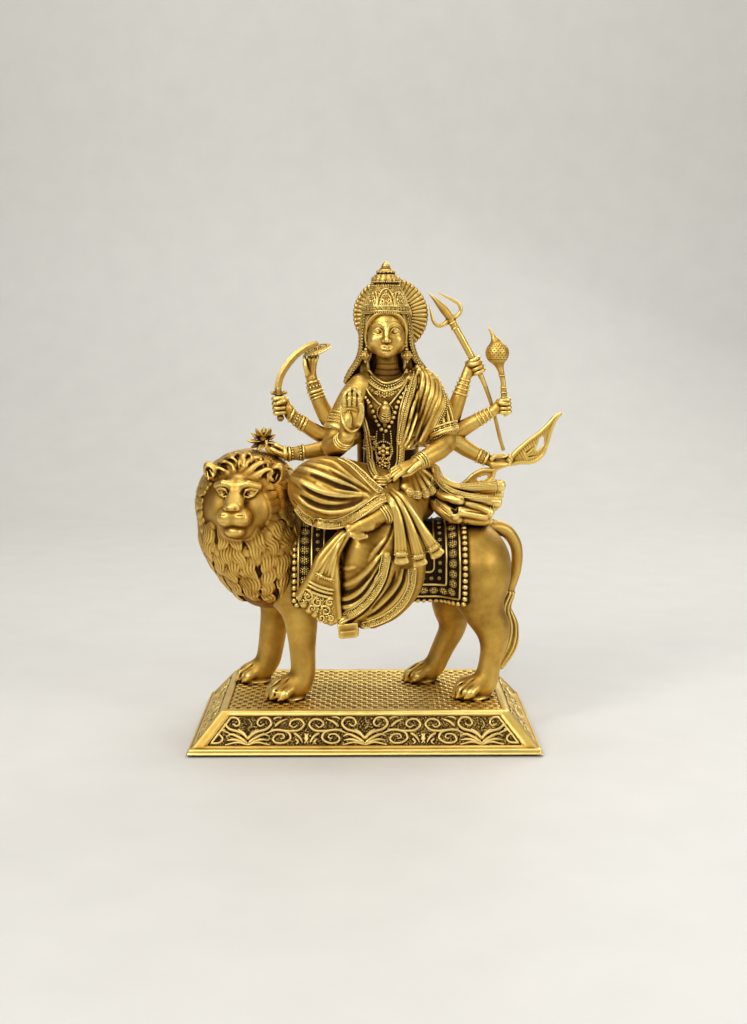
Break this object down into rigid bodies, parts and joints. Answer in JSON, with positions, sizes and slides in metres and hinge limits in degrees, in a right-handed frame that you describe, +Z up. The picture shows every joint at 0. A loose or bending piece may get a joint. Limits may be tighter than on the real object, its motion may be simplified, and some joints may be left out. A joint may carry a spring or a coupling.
{
  "type": "hindu deity statue",
  "caption": "Cast brass statue of a many-armed goddess seated side-on over a standing lion, on a tapered ornamental plinth with felt underneath.",
  "frame": {"origin": "centre of the felt's underside", "axes": "+Z up from the felt to the crown, +X towards the lion's tail, -Y towards the side the goddess faces"},
  "size_m": [0.1929, 0.109, 0.2474],
  "materials": {
    "brass_polished": "hand-polished with brown patina in the hollows",
    "brass_aged": "chased relief, patina left in the ground, tops rubbed bright",
    "brass_bright": "bright polished",
    "felt": "dark red-brown felt",
    "steel": "plain"
  },
  "bodies": {
    "root": {"base_plinth": "brass_polished", "base_felt": "felt", "paw_studs": "steel", "stud_washers": "steel", "stud_nuts": "steel", "lion_body": "brass_polished", "lion_head": "brass_aged", "lion_tail": "brass_polished", "saddle_cloth": "brass_aged", "seat_dowels": "brass_bright", "goddess_torso": "brass_polished", "goddess_head": "brass_polished", "crown": "brass_aged", "halo": "brass_bright", "hair_and_veil": "brass_aged", "earrings": "brass_bright", "necklaces": "brass_bright", "long_garland": "brass_bright", "shoulder_stole": "brass_polished", "waist_belt": "brass_bright", "arm_blessing": "brass_polished", "arm_lap": "brass_polished", "arm_right_upper": "brass_polished", "arm_right_middle": "brass_polished", "arm_right_lower": "brass_polished", "arm_left_upper": "brass_polished", "arm_left_middle": "brass_polished", "arm_left_lower": "brass_polished", "discus": "brass_bright", "sword": "brass_aged", "lotus": "brass_bright", "trident": "brass_bright", "mace": "brass_bright", "bow": "brass_bright", "skirt_crossed_leg": "brass_polished", "crossed_foot": "brass_polished", "skirt_hanging_leg": "brass_polished", "skirt_pleats": "brass_polished", "sash_tails": "brass_bright", "stole_ends": "brass_polished"}
  },
  "joints": []
}
